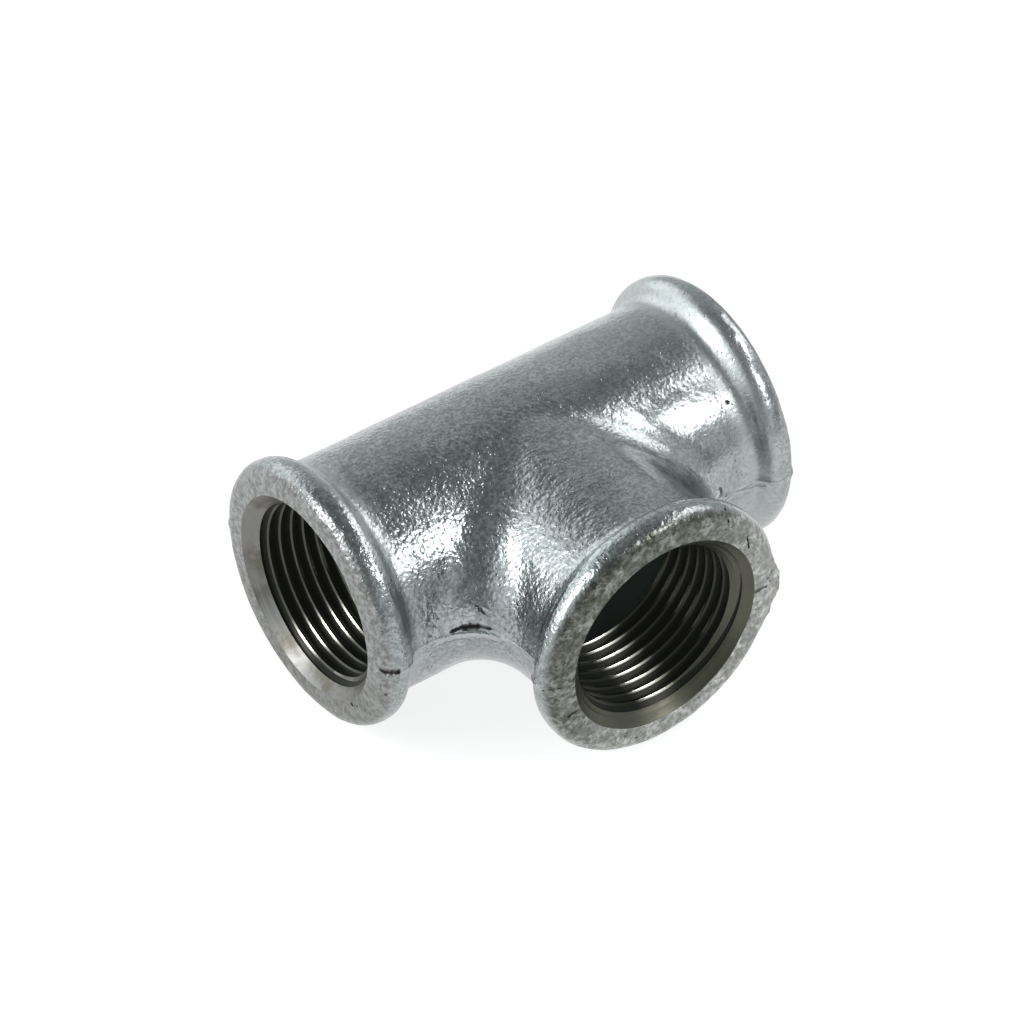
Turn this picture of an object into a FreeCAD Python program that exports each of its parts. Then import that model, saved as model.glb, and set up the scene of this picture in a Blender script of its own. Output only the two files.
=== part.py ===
import FreeCAD, Part
import math
import os

# Galvanized malleable iron pipe tee: one casting with three equal threaded ports, each with a
# rolled bead at its mouth, lying on its side on the three beads.
# Millimetres. The run lies along X, the branch points to -Y and +Z is up. The origin is the
# middle of the footprint, in the plane that the beads rest on.

# Ports, parallel 3/4 pipe thread
thread_major_radius = 13.2205
thread_depth = 1.162
thread_length = 15.0          # face to the end of the thread
mouth_overcut = 1.1           # how far the chamfer's mouth lies outside the thread
mouth_angle = 45.0            # of the chamfer, from the port's axis

# Casting
run_face_distance = 33.0      # crossing of the axes to each face of the run
branch_face_distance = 33.0   # crossing of the axes to the face of the branch
iron_wall = 3.08              # run's barrel, outside the thread
branch_slimming = 0.4         # how much smaller the branch's barrel is than the run's
crotch_round = 9.0            # blend between the two barrels
least_barrel = 0.8            # straight barrel left between the blend and a bead's neck

# Rolled bead at each mouth, the same on all three
bead_rise = 2.3               # proud of the run's barrel
bead_width = 4.8              # face to the end of the bead's back rounding
bead_front_round = 2.1
bead_back_round = 2.2
bead_neck_round = 1.8         # hollow where the bead's back runs into the barrel

# Cored waterway behind the threads
core_clearance = 0.28         # outside the thread, so that the tap runs out free
branch_core_slimming = 0.2    # how much smaller the branch's waterway is than the run's
lead_angle = 40.0             # from the axis, where a bore opens into the waterway

# Marks that the mould leaves
seam_height = 0.22            # parting line, proud of the casting
seam_width = 0.7
gate_height = 0.55            # ground stub of the gate, proud of the branch's bead
gate_length = 4.6             # along the bead's rim, at its foot
gate_crown = 2.0              # along the rim, at its ground top
gate_thickness = 3.0          # along the branch's axis
gate_set_back = 1.9           # the stub's middle behind the branch's face
gate_drop = 0.9               # the stub's middle below the parting line

thread_minor_radius = thread_major_radius - thread_depth
run_barrel_radius = thread_major_radius + iron_wall
branch_barrel_radius = run_barrel_radius - branch_slimming
bead_radius = run_barrel_radius + bead_rise
run_core_radius = thread_major_radius + core_clearance
branch_core_radius = run_core_radius - branch_core_slimming

axis_height = bead_radius
crossing = FreeCAD.Vector(0.0, (branch_face_distance - bead_radius) / 2.0, axis_height)
port_turns = {
    "left": (FreeCAD.Vector(0, 0, 1), 180.0),
    "right": (FreeCAD.Vector(0, 0, 1), 0.0),
    "branch": (FreeCAD.Vector(0, 0, 1), -90.0),
}
x_axis = FreeCAD.Vector(1, 0, 0)
slack = 5.0                   # how far cutting tools reach past what they cut


def on_circle(centre, radius, degrees):
    turn = math.radians(degrees)
    return FreeCAD.Vector(centre[0] + radius * math.cos(turn), centre[1] + radius * math.sin(turn), 0)


def arc(centre, radius, start, end):
    """Arc in the half plane of an outline, with the two points that it runs between."""
    points = [on_circle(centre, radius, a) for a in (start, (start + end) / 2.0, end)]
    return points[0], points[2], Part.Arc(points[0], points[1], points[2]).toShape()


def closed_outline(pieces, start, end):
    """Joins arcs and points by straight lines into a face, from start to end and back."""
    edges = []
    last = start
    for first, following, edge in pieces:
        if first.distanceToPoint(last) > 1e-6:
            edges.append(Part.makeLine(last, first))
        if edge is not None:
            edges.append(edge)
        last = following
    edges.append(Part.makeLine(last, end))
    edges.append(Part.makeLine(end, start))
    return Part.Face(Part.Wire(edges))


def turned(face):
    """Full turn of an outline about the X axis through the crossing at the local origin."""
    return face.revolve(FreeCAD.Vector(0, 0, 0), x_axis, 360)


def placed(shape, port):
    """Moves a shape made about the local X axis to a port."""
    axis, degrees = port_turns[port]
    shape = shape.copy()
    shape.rotate(FreeCAD.Vector(0, 0, 0), axis, degrees)
    shape.translate(crossing)
    return shape


def bead_pieces(face, barrel, grow):
    """Arcs of a bead from the neck's hollow over the crown to the face, and where they start."""
    rounds = bead_neck_round + bead_back_round
    step = bead_radius - barrel
    crown = face - bead_width + bead_back_round
    reach = rounds
    sweep = 90.0
    if step < rounds:
        reach = math.sqrt(rounds ** 2 - (rounds - step) ** 2)
        sweep = math.degrees(math.acos((rounds - step) / rounds))
    neck = crown - reach
    hollow = arc((neck, barrel + bead_neck_round), bead_neck_round - grow, -90.0, sweep - 90.0)
    back = arc((crown, bead_radius - bead_back_round), bead_back_round + grow, sweep + 90.0, 90.0)
    front_centre = (face - bead_front_round, bead_radius - bead_front_round)
    front = arc(front_centre, bead_front_round + grow, 90.0, 0.0)
    return neck, [hollow, back, front]


def mirrored(pieces):
    """The same arcs for the opposite port, in reverse order."""
    result = []
    for first, following, edge in reversed(pieces):
        result.append((FreeCAD.Vector(-following.x, following.y, 0),
                       FreeCAD.Vector(-first.x, first.y, 0),
                       edge.mirror(FreeCAD.Vector(0, 0, 0), x_axis)))
    return result


def casting(grow):
    """Outside of the casting, filled, with its skin moved out by grow."""
    run_neck, right = bead_pieces(run_face_distance, run_barrel_radius, grow)
    left = mirrored(right)
    run_end = right[-1][1].x
    run = turned(closed_outline(left + right, FreeCAD.Vector(-run_end, 0, 0), FreeCAD.Vector(run_end, 0, 0)))
    branch_neck, rim = bead_pieces(branch_face_distance, branch_barrel_radius, grow)
    root = FreeCAD.Vector(0, branch_barrel_radius + grow, 0)
    stem = [(root, root, None)] + rim
    end = FreeCAD.Vector(rim[-1][1].x, 0, 0)
    branch = turned(closed_outline(stem, FreeCAD.Vector(0, 0, 0), end))
    body = placed(run, "right").fuse(placed(branch, "branch"))
    room = min(run_neck - branch_barrel_radius, branch_neck - run_barrel_radius) - least_barrel
    radius = min(crotch_round, room) - grow
    return body.makeFillet(radius, meeting_edges(body, run_barrel_radius + grow, branch_barrel_radius + grow))


def meeting_edges(body, run_radius, branch_radius):
    """Edges where the run's cylinder meets the branch's."""
    found = []
    for edge in body.Edges:
        middle = edge.valueAt((edge.FirstParameter + edge.LastParameter) / 2.0) - crossing
        from_run = math.hypot(middle.y, middle.z)
        from_branch = math.hypot(middle.x, middle.z)
        if abs(from_run - run_radius) < 1e-4 and abs(from_branch - branch_radius) < 1e-4:
            found.append(edge)
    return found


def lead_length(core_radius):
    return (core_radius - thread_minor_radius) / math.tan(math.radians(lead_angle))


def bore(face, core_radius):
    """Chamfered mouth, bore at the thread's crests and its opening into the waterway."""
    mouth = thread_major_radius + mouth_overcut
    chamfer = (mouth - thread_minor_radius) / math.tan(math.radians(mouth_angle))
    widening = mouth + slack * math.tan(math.radians(mouth_angle))
    inner = face - thread_length
    points = [
        (inner - lead_length(core_radius), 0.0),
        (inner - lead_length(core_radius), core_radius),
        (inner, thread_minor_radius),
        (face - chamfer, thread_minor_radius),
        (face, mouth),
        (face + slack, widening),
        (face + slack, 0.0),
    ]
    corners = [FreeCAD.Vector(u, v, 0) for u, v in points]
    return turned(Part.Face(Part.makePolygon(corners + corners[:1])))


def waterway():
    """Inside of the tee between the bores, left by the sand core."""
    half = run_face_distance - thread_length - lead_length(run_core_radius)
    reach = branch_face_distance - thread_length - lead_length(branch_core_radius)
    run = Part.makeCylinder(run_core_radius, 2 * half, FreeCAD.Vector(-half, 0, 0), x_axis)
    stem = Part.makeCylinder(branch_core_radius, reach, FreeCAD.Vector(0, 0, 0), x_axis)
    return placed(run, "right").fuse(placed(stem, "branch"))


def slab(thickness, margin):
    """Flat plate in the plane of the axes, cut flush with the three faces."""
    depth = branch_face_distance + bead_radius + margin
    corner = FreeCAD.Vector(-run_face_distance, crossing.y - branch_face_distance, axis_height - thickness / 2.0)
    return Part.makeBox(2 * run_face_distance, depth, thickness, corner)


def parting_seam():
    """Thin rib all round the casting where the two halves of the mould met."""
    return casting(seam_height).common(slab(seam_width, slack))


def gate_stub():
    """What is left of the gate after grinding, on the branch bead's side at the parting line."""
    foot = bead_radius - bead_front_round
    crest = bead_radius + gate_height
    spread = (gate_length - gate_crown) / 2.0 / gate_height * (crest - foot)
    points = [
        (foot, -gate_crown / 2.0 - spread),
        (foot, gate_crown / 2.0 + spread),
        (crest, gate_crown / 2.0),
        (crest, -gate_crown / 2.0),
    ]
    corners = [FreeCAD.Vector(v, 0, w - gate_drop) for v, w in points]
    plate = Part.Face(Part.makePolygon(corners + corners[:1]))
    stub = plate.extrude(FreeCAD.Vector(0, gate_thickness, 0))
    front = gate_set_back - gate_thickness / 2.0
    stub.translate(crossing + FreeCAD.Vector(0, front - branch_face_distance, 0))
    return stub


def tee_body():
    body = casting(0.0).fuse(parting_seam()).fuse(gate_stub())
    body = body.cut(waterway())
    body = body.cut(placed(bore(run_face_distance, run_core_radius), "left"))
    body = body.cut(placed(bore(run_face_distance, run_core_radius), "right"))
    body = body.cut(placed(bore(branch_face_distance, branch_core_radius), "branch"))
    body = body.removeSplitter()
    return body.Solids[0] if len(body.Solids) == 1 else body


os.makedirs("parts", exist_ok=True)
tee = tee_body()
tee.exportStep("parts/tee_body.step")
print("tee_body valid", tee.isValid(), "solids", len(tee.Solids), "volume", round(tee.Volume, 1))
print("box", tee.BoundBox)
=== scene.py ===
import math

import bmesh
import bpy
from mathutils import Matrix, Vector


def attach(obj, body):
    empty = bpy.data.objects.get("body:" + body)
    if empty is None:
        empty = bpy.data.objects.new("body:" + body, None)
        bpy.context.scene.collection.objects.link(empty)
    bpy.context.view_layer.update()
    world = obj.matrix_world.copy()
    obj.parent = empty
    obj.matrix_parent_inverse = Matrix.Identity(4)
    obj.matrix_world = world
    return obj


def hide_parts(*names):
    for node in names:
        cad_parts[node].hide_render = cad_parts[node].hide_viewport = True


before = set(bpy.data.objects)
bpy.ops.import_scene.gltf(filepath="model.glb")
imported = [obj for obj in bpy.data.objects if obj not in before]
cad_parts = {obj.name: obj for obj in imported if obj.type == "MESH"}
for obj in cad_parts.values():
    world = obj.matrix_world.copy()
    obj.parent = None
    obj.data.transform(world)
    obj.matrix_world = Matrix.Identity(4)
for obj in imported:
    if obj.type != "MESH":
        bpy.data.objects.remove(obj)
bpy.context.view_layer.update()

# Casting. The whole tee is one piece of malleable iron, poured in a two-part sand mould with a
# sand core, so its skin is lumpy and a parting line runs round it in the plane of the axes.
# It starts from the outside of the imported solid, with the three mouths closed over.
crossing = Vector((0.0, 0.0072, 0.0186))
face_distance = 0.033
mouth_radius = 0.0143205
skin_voxel = 0.00047
margin = 0.00002


def alone(piece):
    """Makes a piece the only one selected, and the active one."""
    if bpy.context.mode != "OBJECT":
        bpy.ops.object.mode_set(mode="OBJECT")
    bpy.ops.object.select_all(action="DESELECT")
    piece.select_set(True)
    bpy.context.view_layer.objects.active = piece


def finish_with(piece, kind, **settings):
    """Adds a modifier to a piece and applies it."""
    alone(piece)
    modifier = piece.modifiers.new(kind.lower(), kind)
    for key, value in settings.items():
        setattr(modifier, key, value)
    bpy.ops.object.modifier_apply(modifier=modifier.name)


def inside_a_port(point):
    """True on the chamfers, the bores and the waterway."""
    place = point - crossing
    in_run = math.hypot(place.y, place.z) < mouth_radius + margin
    in_branch = math.hypot(place.x, place.z) < mouth_radius + margin and place.y < 0.0
    return in_run or in_branch


casting = bpy.data.objects.new("tee_casting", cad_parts["tee_body"].data.copy())
bpy.context.scene.collection.objects.link(casting)
alone(casting)
bpy.ops.object.mode_set(mode="EDIT")
bpy.ops.mesh.select_all(action="SELECT")
bpy.ops.mesh.remove_doubles(threshold=0.000002)
bpy.ops.mesh.select_mode(type="FACE")
bpy.ops.mesh.select_all(action="DESELECT")
drawn = bmesh.from_edit_mesh(casting.data)
for face in drawn.faces:
    face.select_set(all(inside_a_port(vertex.co) for vertex in face.verts))
bmesh.update_edit_mesh(casting.data)
bpy.ops.mesh.delete(type="FACE")
bpy.ops.mesh.select_mode(type="EDGE")
bpy.ops.mesh.select_all(action="DESELECT")
bpy.ops.mesh.select_non_manifold(
    extend=False, use_wire=False, use_multi_face=False, use_non_contiguous=False,
)
bpy.ops.mesh.fill_holes(sides=0)
bpy.ops.mesh.select_all(action="SELECT")
bpy.ops.mesh.normals_make_consistent(inside=False)
bpy.ops.object.mode_set(mode="OBJECT")
finish_with(casting, "REMESH", mode="VOXEL", voxel_size=skin_voxel, adaptivity=0.0)
finish_with(casting, "SMOOTH", factor=0.5, iterations=2)

swells = bpy.data.textures.new("mould_swells", "CLOUDS")
swells.noise_scale = 0.0070
swells.noise_depth = 1
lumps = bpy.data.textures.new("sand_lumps", "CLOUDS")
lumps.noise_scale = 0.0021
lumps.noise_depth = 2
finish_with(casting, "DISPLACE", texture=swells, texture_coords="LOCAL", strength=0.00018, mid_level=0.5)
finish_with(casting, "DISPLACE", texture=lumps, texture_coords="LOCAL", strength=0.00006, mid_level=0.5)


# Waterway. The sand core leaves a rough passage a little wider than the threads. It is cut by
# three turned rods, one to each port, which narrow at their ends to the thread's crests.
crest_radius = 0.0120585
thread_end = 0.018
lead_angle = 40.0
core_radii = {"left": 0.0135, "right": 0.0135, "branch": 0.0133}
core_feet = {"left": -0.001, "right": -0.001, "branch": 0.0}


def turned_rod(name, stations, segments=96):
    """Closed rod about Z from its (height, radius) stations, drawn as a circle and extruded."""
    height, radius = stations[0]
    bpy.ops.object.select_all(action="DESELECT")
    bpy.ops.mesh.primitive_circle_add(
        vertices=segments, radius=radius, fill_type="NGON",
        enter_editmode=True, location=(0.0, 0.0, height),
    )
    rod = bpy.context.object
    rod.name = name
    for next_height, next_radius in stations[1:]:
        rise = next_height - height
        bpy.ops.mesh.extrude_region_move(TRANSFORM_OT_translate={"value": (0.0, 0.0, rise)})
        scale = next_radius / radius
        bpy.ops.transform.resize(value=(scale, scale, 1.0))
        height, radius = next_height, next_radius
    bpy.ops.mesh.select_all(action="SELECT")
    bpy.ops.mesh.normals_make_consistent(inside=False)
    bpy.ops.object.mode_set(mode="OBJECT")
    alone(rod)
    bpy.ops.object.transform_apply(location=True, rotation=True, scale=True)
    return rod


toward_port = {
    "left": Matrix.Rotation(math.radians(-90.0), 4, "Y"),
    "right": Matrix.Rotation(math.radians(90.0), 4, "Y"),
    "branch": Matrix.Rotation(math.radians(90.0), 4, "X"),
}


def aimed(rod, port):
    """Turns a rod drawn about Z to a port's axis, with its foot at the crossing of the axes."""
    alone(rod)
    rod.matrix_world = Matrix.Translation(crossing) @ toward_port[port]
    bpy.ops.object.transform_apply(location=True, rotation=True, scale=True)
    return rod


def cut_with(piece, tool, solver="MANIFOLD"):
    """Takes a tool's shape out of a piece, and removes the tool."""
    finish_with(piece, "BOOLEAN", operation="DIFFERENCE", object=tool, solver=solver)
    bpy.data.objects.remove(tool, do_unlink=True)


for port, core_radius in core_radii.items():
    lead = (core_radius - crest_radius) / math.tan(math.radians(lead_angle))
    stations = [
        (core_feet[port], core_radius),
        (thread_end - lead, core_radius),
        (thread_end, crest_radius),
        (thread_end + 0.001, crest_radius),
    ]
    cut_with(casting, aimed(turned_rod("core_" + port, stations), port))


# Ports. Each mouth is bored through the zinc to the thread's crests and chamfered at 45 degrees,
# then tapped with a right-hand 3/4 pipe thread, which leaves bare metal.
pitch = 0.001814
root_radius = 0.0132005
drill_radius = crest_radius - 0.00001
drill_foot = thread_end - 0.0002
chamfer_depth = mouth_radius - drill_radius
stand_out = 0.002
tap_foot = 0.0165
turns = 11
start_turns = {"left": 0.7, "right": 0.3, "branch": 0.45}


def bore_tool(port):
    """Drill and countersink in one, standing out past the face."""
    stations = [
        (drill_foot, drill_radius),
        (face_distance - chamfer_depth, drill_radius),
        (face_distance, mouth_radius),
        (face_distance + stand_out, mouth_radius + stand_out),
    ]
    return aimed(turned_rod("drill_" + port, stations, 192), port)


def tap_tool(port):
    """Screw with the thread's 55 degree form and eased crests, running out at both ends."""
    bpy.ops.object.select_all(action="DESELECT")
    bpy.ops.mesh.primitive_plane_add(size=0.001, enter_editmode=True, location=(0.0, 0.0, 0.0))
    tap = bpy.context.object
    tap.name = "tap_" + port
    drawn = bmesh.from_edit_mesh(tap.data)
    drawn.verts.ensure_lookup_table()
    root_to_crest = [
        (root_radius, 0.0),
        (root_radius - 0.0000505, 0.000070),
        (crest_radius + 0.0002035, 0.000540),
        (crest_radius + 0.0000035, 0.000740),
        (crest_radius, 0.5 * pitch),
    ]
    crest_to_root = [(radius, -height) for radius, height in reversed(root_to_crest)]
    outline = crest_to_root + root_to_crest[1:]
    radius, height = outline[0]
    bmesh.ops.delete(drawn, geom=drawn.verts[1:], context="VERTS")
    drawn.verts.ensure_lookup_table()
    drawn.verts[0].co = Vector((radius, 0.0, height))
    drawn.verts[0].select_set(True)
    bmesh.update_edit_mesh(tap.data)
    for next_radius, next_height in outline[1:]:
        bpy.ops.mesh.extrude_vertices_move(
            TRANSFORM_OT_translate={"value": (next_radius - radius, 0.0, next_height - height)}
        )
        radius, height = next_radius, next_height
    bpy.ops.object.mode_set(mode="OBJECT")
    finish_with(
        tap, "SCREW", axis="Z", angle=math.tau, screw_offset=pitch, iterations=turns, steps=96,
        render_steps=96, use_merge_vertices=True, merge_threshold=0.000002, use_normal_calculate=True,
    )
    alone(tap)
    bpy.ops.object.mode_set(mode="EDIT")
    bpy.ops.mesh.select_mode(type="VERT")
    bpy.ops.mesh.select_all(action="SELECT")
    bpy.ops.mesh.remove_doubles(threshold=0.000001)
    middle = 0.5 * turns * pitch
    for top in (False, True):
        bpy.ops.mesh.select_all(action="DESELECT")
        drawn = bmesh.from_edit_mesh(tap.data)
        for edge in drawn.edges:
            height = (edge.verts[0].co.z + edge.verts[1].co.z) / 2.0
            if len(edge.link_faces) == 1 and (height > middle) == top:
                edge.select_set(True)
        bmesh.update_edit_mesh(tap.data)
        bpy.ops.mesh.extrude_edges_move()
        bpy.ops.mesh.merge(type="CENTER")
    bpy.ops.mesh.select_all(action="SELECT")
    bpy.ops.mesh.normals_make_consistent(inside=False)
    bpy.ops.object.mode_set(mode="OBJECT")
    alone(tap)
    tap.location = (0.0, 0.0, tap_foot + start_turns[port] * pitch)
    bpy.ops.object.transform_apply(location=True, rotation=True, scale=True)
    return aimed(tap, port)


for port in toward_port:
    cut_with(casting, bore_tool(port))
    cut_with(casting, tap_tool(port))


# Zinc. After tapping nothing more is dipped, so zinc covers only the cast skin and the rims. It has set
# in flecks over the grain of the sand, and is duller and dirtier on the rims; the branch's rim also
# carries painted light and shade. Cracks, folds and pits of this casting show through it. The cracks and
# gouges hold painted shadow, and the folds carry painted highlights.
class Amount:
    """A number or colour that changes over the surface: the output of a node."""

    def __init__(self, nodes, socket):
        self.nodes = nodes
        self.socket = socket

    def math(self, operation, *others):
        inputs = {place: value for place, value in enumerate(others)}
        return self.nodes.node("ShaderNodeMath", {"operation": operation}, inputs)

    def __add__(self, other):
        return self.math("ADD", self, other)

    __radd__ = __add__

    def __mul__(self, other):
        return self.math("MULTIPLY", self, other)

    __rmul__ = __mul__

    def __sub__(self, other):
        return self.math("SUBTRACT", self, other)

    def __rsub__(self, other):
        return self.math("SUBTRACT", other, self)

    def __neg__(self):
        return self.math("MULTIPLY", self, -1.0)

    def __abs__(self):
        return self.math("ABSOLUTE", self)

    def __pow__(self, other):
        return self.math("POWER", self, other)

    def above(self, other):
        return self.math("MAXIMUM", self, other)

    def below(self, other):
        return self.math("MINIMUM", self, other)

    def ramp(self, start, end):
        """0 before start, 1 after end and smooth between them."""
        settings = {"interpolation_type": "SMOOTHSTEP"}
        inputs = {"Value": self, "From Min": start, "From Max": end}
        return self.nodes.node("ShaderNodeMapRange", settings, inputs)


class Nodes:
    """The nodes of a material or of the world."""

    def __init__(self, owner):
        owner.use_nodes = True
        self.tree = owner.node_tree

    def node(self, kind, settings=None, inputs=None, output=0):
        """Adds a node, sets it and then its sockets, and gives one of its outputs."""
        made = self.tree.nodes.new(kind)
        for key, value in (settings or {}).items():
            setattr(made, key, value)
        for key, value in (inputs or {}).items():
            self.feed(made.inputs[key], value)
        return Amount(self, made.outputs[output])

    def feed(self, socket, value):
        """Gives a socket a value, or a link from the amount that it takes."""
        if isinstance(value, Amount):
            self.tree.links.new(value.socket, socket)
        else:
            socket.default_value = value


class Finish(Nodes):
    """A material with one shader, and the nodes that feed it."""

    def __init__(self, name):
        self.material = bpy.data.materials.new(name)
        super().__init__(self.material)
        self.tree.nodes.clear()
        output = self.tree.nodes.new("ShaderNodeOutputMaterial")
        self.shader = self.tree.nodes.new("ShaderNodeBsdfPrincipled")
        self.tree.links.new(self.shader.outputs[0], output.inputs["Surface"])
        self.place = self.node("ShaderNodeTexCoord", output="Object")

    def surface(self, **inputs):
        for key, value in inputs.items():
            self.feed(self.shader.inputs[key.replace("_", " ")], value)

    def axis(self, name):
        return self.node("ShaderNodeSeparateXYZ", None, {0: self.place}, name)

    def noise(self, size, detail=2.0, roughness=0.5, distortion=0.0):
        """Noise from 0 to 1 with features of a size in metres."""
        inputs = {
            "Vector": self.place, "Scale": 1.0 / size, "Detail": detail,
            "Roughness": roughness, "Distortion": distortion,
        }
        return self.node("ShaderNodeTexNoise", None, inputs, "Fac")

    def cells(self, size):
        """Distance to the nearest of many scattered points, in parts of their spacing in metres."""
        inputs = {"Vector": self.place, "Scale": 1.0 / size}
        return self.node("ShaderNodeTexVoronoi", {"feature": "F1"}, inputs, "Distance")

    def vector_math(self, operation, inputs, output="Vector"):
        return self.node("ShaderNodeVectorMath", {"operation": operation}, inputs, output)

    def to_line(self, start, end):
        """Distance from the surface to a straight line between two places in metres."""
        along = end - start
        reach = along.length
        offset = self.vector_math("SUBTRACT", {0: self.place, 1: start})
        if reach == 0.0:
            return self.vector_math("LENGTH", {0: offset}, "Value")
        step = along / reach
        travel = self.vector_math("DOT_PRODUCT", {0: offset, 1: step}, "Value")
        foot = self.vector_math("SCALE", {0: step, "Scale": travel.above(0.0).below(reach)})
        return self.vector_math("DISTANCE", {0: offset, 1: foot}, "Value")

    def mix(self, share, first, second):
        """Colour between two others."""
        settings = {"data_type": "RGBA"}
        inputs = {0: share, 6: first, 7: second}
        return self.node("ShaderNodeMix", settings, inputs, 2)

    def bump(self, height, strength=1.0):
        """Normal from a height in millimetres."""
        inputs = {"Strength": strength, "Distance": 0.001, "Height": height}
        return self.node("ShaderNodeBump", None, inputs, "Normal")


zinc = Finish("hot_dip_zinc")
x = zinc.axis("X")
y = zinc.axis("Y")
z = zinc.axis("Z") - crossing.z
rim_run = abs(x).ramp(0.0312, 0.0326)
rim_branch = (-y).ramp(0.0240, 0.0254)
rim = rim_run.above(rim_branch)

# Marks in the skin, each a line or a point in millimetres, with its half width and strength.
wander = (zinc.noise(0.0009, 2.0, 0.6) - 0.5) * 0.0006
# Flaws: cracks, gouges and the gap along the parting line. They are painted near black as painted shadow
# in them.
flaws = (
    (((-32.9, -10.0, 18.9), (-32.2, -10.9, 19.0), (-31.4, -11.4, 18.9)), 0.42, 1.0),
    (((-21.9, -9.6, 19.2), (-20.6, -10.1, 19.7), (-19.2, -11.1, 19.9), (-17.8, -12.4, 19.6)), 0.26, 1.0),
    (((-20.3, -10.3, 19.6), (-18.9, -11.3, 19.8)), 0.44, 1.0),
    (((10.0, -24.6, 34.1), (9.8, -25.7, 32.6)), 0.13, 1.0),
    (((12.9, -25.8, 28.5), (13.1, -25.8, 26.5)), 0.13, 1.0),
    (((-18.6, -24.6, 18.5), (-16.6, -25.8, 18.8)), 0.14, 0.9),
    (((22.4, -9.6, 19.0), (26.9, -9.0, 17.6), (30.6, -11.6, 18.5)), 0.24, 0.25),
    (((-18.5, -10.6, 22.5), (-18.0, -11.5, 21.7)), 0.20, 0.8),
    (((-28.2, 2.1, 34.9),), 0.26, 1.0),
    (((26.1, -4.7, 29.7),), 0.30, 0.9),
    (((-33.0, -3.2, 7.8),), 0.32, 1.0),
    (((-33.0, -4.4, 8.5),), 0.24, 0.9),
    (((-32.5, -10.2, 14.6),), 0.28, 0.9),
    (((-31.0, -2.8, 11.4),), 0.26, 0.9),
    (((-13.8, -25.8, 13.4), (-15.3, -25.8, 13.2)), 0.24, 0.8),
    (((14.5, -25.8, 18.1), (16.1, -25.8, 18.2)), 0.30, 0.7),
)
# Folds: the raised lip by the parting line, and a nub. They are painted whiter as a painted highlight on
# them.
folds = (
    (((-23.4, -9.5, 17.9), (-21.5, -10.0, 18.1), (-19.3, -11.3, 18.5), (-17.6, -13.3, 18.2)), 0.75, 0.7),
    (((20.9, -9.9, 20.2),), 0.80, 1.5),
    (((21.9, -9.7, 18.7), (27.0, -8.9, 16.9)), 0.40, 0.4),
)


def traced(shapes):
    """1 along the middle of each line, falling to 0 at its half width."""
    total = None
    for places, half_width, share in shapes:
        points = [Vector(place) / 1000.0 for place in places]
        nearest = None
        for start, end in zip(points, points[1:] + points[-1:]):
            gap = zinc.to_line(start, end)
            nearest = gap if nearest is None else nearest.below(gap)
        width = half_width / 1000.0
        shown = (1.0 - (nearest + wander).ramp(width * 0.35, width * 1.25)) * share
        total = shown if total is None else total.above(shown)
    return total


flaw = traced(flaws)
fold = traced(folds)
grain = zinc.noise(0.00055, 1.5, 0.5)
dimples = zinc.noise(0.0011, 1.0, 0.5)
waves = zinc.noise(0.0026, 1.0)
nodules = 1.0 - zinc.cells(0.00075).ramp(0.05, 0.30)
pits = 1.0 - zinc.cells(0.00100).ramp(0.08, 0.20)
harsh = 1.0 - x.ramp(0.001, 0.010) * 0.6
neck = 1.0 - abs(abs(x) - 0.0278).ramp(0.0012, 0.0032)
seam = 1.0 - abs(z + wander * 0.4).ramp(0.00012, 0.00042)
left_bead = (-x).ramp(0.0280, 0.0296)
height = (
    (dimples * 0.055 + grain * 0.070 + nodules * 0.026) * harsh + waves * 0.03 - pits * 0.030
    + rim * (zinc.noise(0.0013, 2.0, 0.6) * 0.14) + fold * 0.20 - flaw * 0.30 + seam * 0.06
    + left_bead * (zinc.noise(0.0008, 2.0, 0.6) * 0.060)
)

# Cast skin: light flecks on a greyer ground, dark in the pits. It is painted whiter in several places:
# painted highlights on the folds and along the parting line, and painted light on the necks of the beads
# and on the underside away from the left end.
patches = zinc.noise(0.0055, 3.0, 0.6)
mottle = zinc.noise(0.0007, 3.0, 0.6)
flecks = (zinc.noise(0.0009, 3.0, 0.75) * 0.5 + zinc.noise(0.00042, 2.0, 0.6) * 0.5).ramp(0.40, 0.60)
light = zinc.mix(patches.ramp(0.35, 0.65), (0.34, 0.362, 0.366, 1.0), (0.41, 0.432, 0.432, 1.0))
shade = zinc.mix(harsh, (0.29, 0.31, 0.31, 1.0), (0.215, 0.232, 0.232, 1.0))
pitted = zinc.mix(pits * 0.7, zinc.mix(flecks, shade, light), (0.12, 0.13, 0.125, 1.0))
underside = (-z).ramp(0.0, 0.0100)
# Painted light: the underside is painted lighter, except towards the left end.
painted_underside_light = underside * x.ramp(-0.026, -0.018)
# Painted highlights on the folds and the parting line, and painted light on the bead necks and the
# underside, all mixed towards a whiter zinc.
painted_light = fold.above(neck * 0.45).above(painted_underside_light * 0.7).above(seam * 0.45)
cast = zinc.mix(painted_light, pitted, (0.46, 0.48, 0.475, 1.0))

# Rims: the run's are grey and the branch's is greasier, with bright flecks. The branch's rim is painted
# lighter towards its right and lower side and darker towards its upper left, as painted light and shade.
crumbs = zinc.noise(0.00085, 4.0, 0.75)
blotches = zinc.noise(0.0026, 2.0, 0.6).ramp(0.35, 0.65)
run_zinc = zinc.mix(crumbs.ramp(0.38, 0.62), (0.155, 0.158, 0.150, 1.0), (0.31, 0.318, 0.315, 1.0))
run_soiled = zinc.mix(underside * (0.25 + blotches * 0.30), run_zinc, (0.115, 0.115, 0.095, 1.0))
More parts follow.
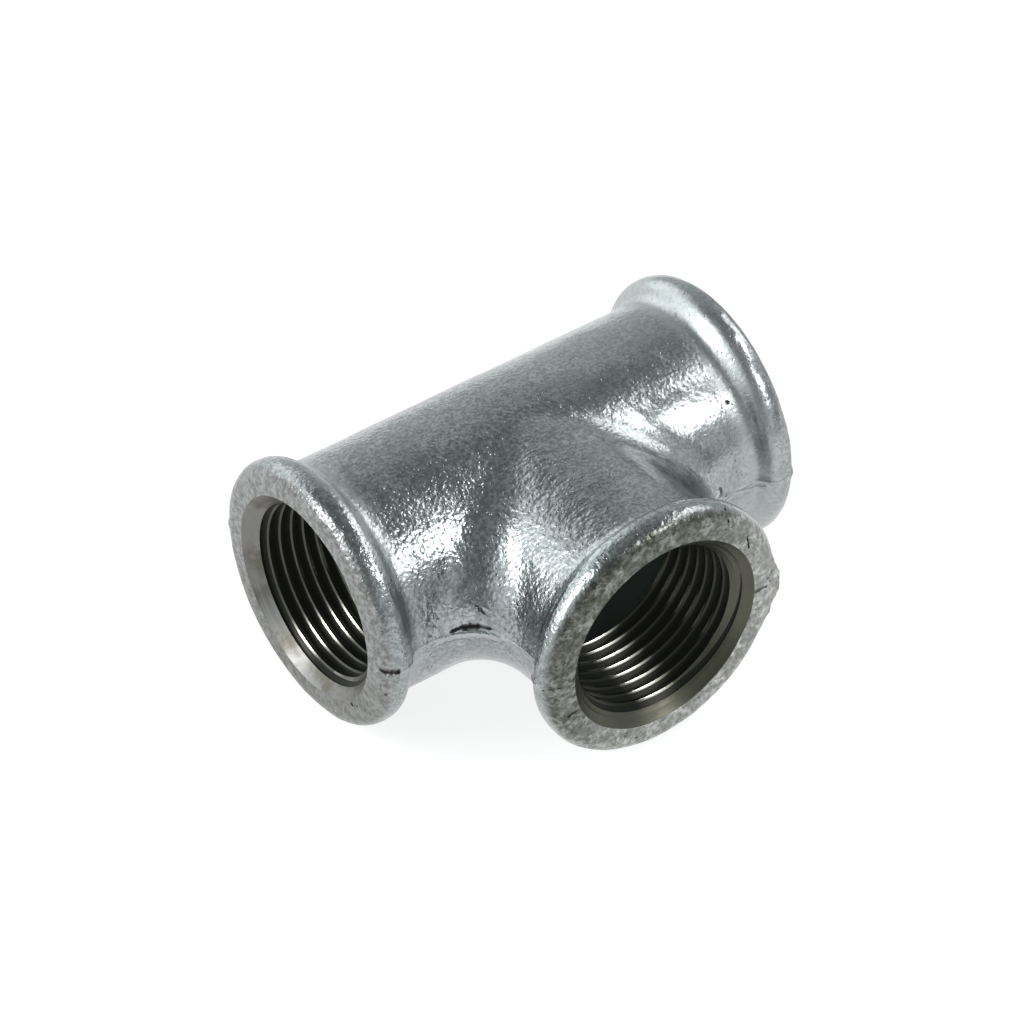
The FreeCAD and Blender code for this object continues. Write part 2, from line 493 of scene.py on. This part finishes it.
# Painted light and shade: the branch's rim is lighter towards the right and the bottom and darker
# towards the upper left.
painted_side_light = (x - z).ramp(-0.018, 0.018)
grime_and_shade = zinc.mix(painted_side_light, (0.060, 0.064, 0.048, 1.0), (0.21, 0.215, 0.20, 1.0))
glint = zinc.mix(painted_side_light, (0.27, 0.28, 0.265, 1.0), (0.58, 0.59, 0.58, 1.0))
freckles = 1.0 - zinc.cells(0.0012).ramp(0.10, 0.24)
freckled = zinc.mix(freckles * 0.8, grime_and_shade, (0.03, 0.03, 0.02, 1.0))
branch_rim_soil_and_light = zinc.mix(crumbs.ramp(0.38, 0.66) * (0.3 + blotches * 0.7), freckled, glint)
skin = zinc.mix(rim_branch, zinc.mix(rim_run, cast, run_soiled), branch_rim_soil_and_light)
dulled = patches.ramp(0.3, 0.7) * 0.06 + mottle.ramp(0.45, 0.75) * 0.06
zinc.surface(
    # The flaws are painted near black: painted shadow in the cracks, gouges and parting gap.
    Base_Color=zinc.mix(flaw, skin, (0.020, 0.019, 0.015, 1.0)),
    Metallic=1.0,
    Roughness=(0.17 + dulled + rim * 0.08 + neck * 0.15 + flaw * 0.4),
    Normal=zinc.bump(height),
)

# Chamfers. They are turned after dipping, so they are bare iron with fine rings from the tool
# and a brown stain, and the branch's is darker with cutting oil.
machined = Finish("machined_iron")
y = machined.axis("Y")
on_branch = (-y).ramp(0.0080, 0.0090)
depth = abs(machined.axis("X")) * (1.0 - on_branch) + (-y) * on_branch
rings = machined.node(
    "ShaderNodeTexNoise", {"noise_dimensions": "1D"},
    {"W": depth, "Scale": 3600.0, "Detail": 2.0, "Roughness": 0.6}, "Fac",
)
wide_rings = machined.node(
    "ShaderNodeTexNoise", {"noise_dimensions": "1D"},
    {"W": depth, "Scale": 1600.0, "Detail": 1.0}, "Fac",
)
stain = machined.noise(0.0035, 3.0, 0.6).ramp(0.4, 0.7)
turned = machined.mix(stain, (0.19, 0.187, 0.18, 1.0), (0.12, 0.113, 0.095, 1.0))
machined.surface(
    Base_Color=machined.mix(on_branch, turned, (0.088, 0.088, 0.068, 1.0)),
    Metallic=1.0,
    Roughness=(0.34 + stain * 0.08),
    Normal=machined.bump(rings * 0.030 + wide_rings * 0.06),
)

# Threads. They are cut bare and stay dark with oil, and the crests are a little lighter than the
# grooves. A bright band on the crests and flanks near the bottom of each bore, a little to one side, is
# a painted highlight. A faint green glow is painted light for the light scattered into the bores.
oiled = Finish("oiled_thread")
x = oiled.axis("X")
y = oiled.axis("Y")
z = oiled.axis("Z") - crossing.z
on_branch = (-y).ramp(0.0080, 0.0090)
across = x * on_branch + (y - crossing.y) * (1.0 - on_branch)
from_axis = (across * across + z * z) ** 0.5
groove = from_axis.ramp(0.01224, 0.01232)
off_centre = abs(across - (0.0006 * on_branch + 0.0036 * (1.0 - on_branch)))
# Painted highlight: the crests and flanks near the bottom of each bore are painted bright.
painted_crest_highlight = (1.0 - off_centre.ramp(0.0003, 0.0037)) * (-z).ramp(0.0, 0.004)
painted_crest_highlight = painted_crest_highlight * (0.60 + on_branch * 0.40)
tarnished = oiled.mix(on_branch, (0.066, 0.064, 0.056, 1.0), (0.030, 0.030, 0.023, 1.0))
crest = oiled.mix(painted_crest_highlight, tarnished, (0.80, 0.78, 0.68, 1.0))
flank = oiled.mix(painted_crest_highlight, (0.007, 0.008, 0.006, 1.0), (0.062, 0.061, 0.050, 1.0))
oiled.surface(
    Base_Color=oiled.mix(groove, crest, flank),
    Metallic=(1.0 - groove * 0.5),
    Roughness=(0.20 + groove * 0.22),
    Specular_IOR_Level=0.12,
    Normal=oiled.bump(oiled.noise(0.0006, 2.0) * 0.020),
    # Painted light: a faint green glow stands for light scattered into the bores.
    Emission_Color=(0.9, 1.0, 0.75, 1.0),
    Emission_Strength=0.0045,
)

# Waterway wall. Its zinc is dull and rough, and hardly any light reaches it. A trace of glow
# stands for the light that is scattered into the ports.
cored = Finish("cored_zinc")
cored.surface(
    Base_Color=(0.020, 0.026, 0.023, 1.0),
    Metallic=0.2,
    Roughness=0.85,
    Specular_IOR_Level=0.2,
    Emission_Color=(0.8, 1.0, 0.8, 1.0),
    Emission_Strength=0.0035,
)

finishes = (zinc, machined, oiled, cored)
casting.data.materials.clear()
for finish in finishes:
    casting.data.materials.append(finish.material)

port_reach = 0.01445
thread_reach = 0.01326
chamfer_tilt = 0.7071


def finish_at(centre, normal):
    """The finish that a face takes, from where it lies in the tee."""
    place = centre - crossing
    from_run = math.hypot(place.y, place.z)
    from_branch = math.hypot(place.x, place.z)
    if place.y < 0.0 and from_branch < port_reach:
        along, radius, tilt = -place.y, from_branch, abs(normal.y)
    elif from_run < port_reach:
        along, radius, tilt = abs(place.x), from_run, abs(normal.x)
    else:
        return zinc
    if along < drill_foot:
        return cored
    from_chamfer = along - radius - (face_distance - mouth_radius)
    if abs(from_chamfer) < 0.00003 and abs(tilt - chamfer_tilt) < 0.03:
        return machined
    return oiled if radius < thread_reach else zinc


for face in casting.data.polygons:
    face.material_index = finishes.index(finish_at(face.center, face.normal))
alone(casting)
bpy.ops.object.shade_smooth_by_angle(angle=math.radians(38.0))
drawn = bmesh.new()
drawn.from_mesh(casting.data)
for edge in drawn.edges:
    if edge.link_faces[0].material_index != edge.link_faces[-1].material_index:
        edge.smooth = False
drawn.to_mesh(casting.data)
drawn.free()
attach(casting, "root")
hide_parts("tee_body")

# Stage. A sheet of white paper lies under the tee and lights its underside. Four flat lamps and
# a pale studio with soft glows give the highlights.
bpy.ops.object.select_all(action="DESELECT")
bpy.ops.mesh.primitive_plane_add(size=2.4, location=(0.0, 0.3, 0.0))
floor = bpy.context.object
floor.name = "floor"
bpy.ops.object.transform_apply(location=True, rotation=True, scale=True)
paper = Finish("white_paper")
x = paper.axis("X")
y = paper.axis("Y")
far = ((x * x + y * y) ** 0.5).ramp(0.20, 0.80)
paper.surface(
    Base_Color=(0.35, 0.35, 0.35, 1.0),
    Roughness=0.9,
    Specular_IOR_Level=0.0,
    Emission_Color=paper.mix(far, (1.0, 1.0, 1.0, 1.0), (0.50, 0.50, 0.50, 1.0)),
    Emission_Strength=0.78,
)
floor.data.materials.append(paper.material)


def heading(azimuth, elevation):
    """Unit vector; azimuth 0 is towards -Y and 90 towards +X, in degrees."""
    turn = math.radians(azimuth)
    rise = math.radians(elevation)
    return Vector((math.sin(turn) * math.cos(rise), -math.cos(turn) * math.cos(rise), math.sin(rise)))


def softbox(name, azimuth, elevation, width, tall, power):
    """Flat lamp facing the tee, its sides in metres and its power in watts."""
    lamp = bpy.data.lights.new(name, "AREA")
    lamp.shape = "RECTANGLE"
    lamp.size = width
    lamp.size_y = tall
    lamp.energy = power
    holder = bpy.data.objects.new(name, lamp)
    away = heading(azimuth, elevation)
    holder.location = crossing + away * lamp_distance
    holder.rotation_euler = away.to_track_quat("Z", "Y").to_euler()
    bpy.context.scene.collection.objects.link(holder)


lamp_distance = 0.6
softbox("window_left", -109.0, 28.0, 0.16, 0.50, 1.7)
softbox("window_right", 32.0, 38.0, 0.17, 0.21, 0.90)
softbox("lamp_right", 71.0, 49.0, 0.15, 0.12, 0.46)
softbox("fill_right", 97.0, 37.0, 0.22, 0.26, 0.45)

world = bpy.data.worlds.new("studio")
bpy.context.scene.world = world
studio = Nodes(world)
background = studio.tree.nodes["Background"]
look = studio.node("ShaderNodeTexCoord", output="Generated")
smooth = {"interpolation_type": "SMOOTHSTEP"}
level = studio.node("ShaderNodeSeparateXYZ", None, {0: look}, "Z")
low_to_high = {"Value": level, "From Min": 0.80, "From Max": 0.0, "To Min": 0.31, "To Max": 0.46}
brightness = studio.node("ShaderNodeMapRange", smooth, low_to_high)
for azimuth, elevation, start, strength in (
    (-103.0, 24.0, 0.68, 1.2), (-162.0, 18.0, 0.76, 1.6), (155.0, 16.0, 0.60, 0.35),
    (12.0, 18.0, 0.80, 0.35), (84.0, 20.0, 0.80, 0.45),
):
    directions = {0: look, 1: heading(azimuth, elevation)}
    facing = studio.node("ShaderNodeVectorMath", {"operation": "DOT_PRODUCT"}, directions, "Value")
    spread = {"Value": facing, "From Min": start, "To Max": strength}
    brightness = studio.node("ShaderNodeMapRange", smooth, spread) + brightness
studio.feed(background.inputs["Color"], (0.95, 1.0, 1.02, 1.0))
studio.feed(background.inputs["Strength"], brightness)

# Camera. It stands at the place that the outline of the beads and ports gives, a long lens away,
# with a slight roll, and looks a little below the crossing of the axes.
focal_pixels = 5036.0
picture_pixels = 1024.0
pixels_per_metre = 7651.0
aim_below_pixels = 15.5
camera_distance = 0.6582
roll = math.radians(-0.426)
lens = bpy.data.cameras.new("camera")
lens.sensor_width = 36.0
lens.lens = focal_pixels / picture_pixels * lens.sensor_width
lens.clip_start = 0.01
back = heading(-35.856, 41.738)
level_right = Vector((0.0, 0.0, 1.0)).cross(back).normalized()
level_up = back.cross(level_right)
right = level_right * math.cos(roll) + level_up * math.sin(roll)
up = level_up * math.cos(roll) - level_right * math.sin(roll)
aim = crossing - up * (aim_below_pixels / pixels_per_metre)
stand = aim + back * camera_distance
camera = bpy.data.objects.new("camera", lens)
camera.matrix_world = Matrix.Translation(stand) @ Matrix((right, up, back)).transposed().to_4x4()
bpy.context.scene.collection.objects.link(camera)
bpy.context.scene.camera = camera
bpy.context.scene.view_settings.view_transform = "Standard"
